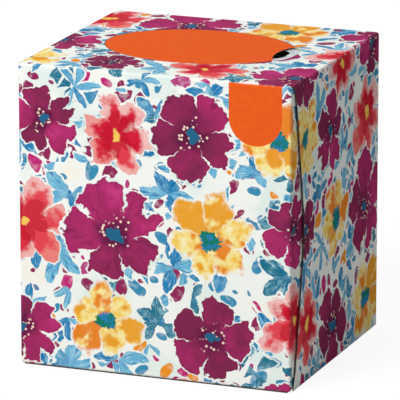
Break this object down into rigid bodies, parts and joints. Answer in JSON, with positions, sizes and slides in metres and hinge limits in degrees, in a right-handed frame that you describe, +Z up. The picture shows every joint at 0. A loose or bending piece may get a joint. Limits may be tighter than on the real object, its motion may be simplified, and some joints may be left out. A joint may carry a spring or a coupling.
{
  "type": "tissue box",
  "caption": "Upright cube tissue box: printed paperboard carton with a perforated tear-off oval and finger hole over a slotted film window and a folded clip of tissues.",
  "frame": {"origin": "centre of the carton's underside", "axes": "+Z up, -Y towards the front panel with the orange tab, +X towards the end panel with the bowed seam beside the finger hole"},
  "size_m": [0.116, 0.104, 0.124],
  "materials": {
    "printed_board": "coated white paperboard with a floral print, satin",
    "clear_film": "thin clear film, slightly hazy",
    "tissue": "soft white creped tissue, matt"
  },
  "bodies": {
    "root": {"carton": "printed_board", "film_window": "clear_film", "tissue_clip": "tissue"}
  },
  "joints": []
}
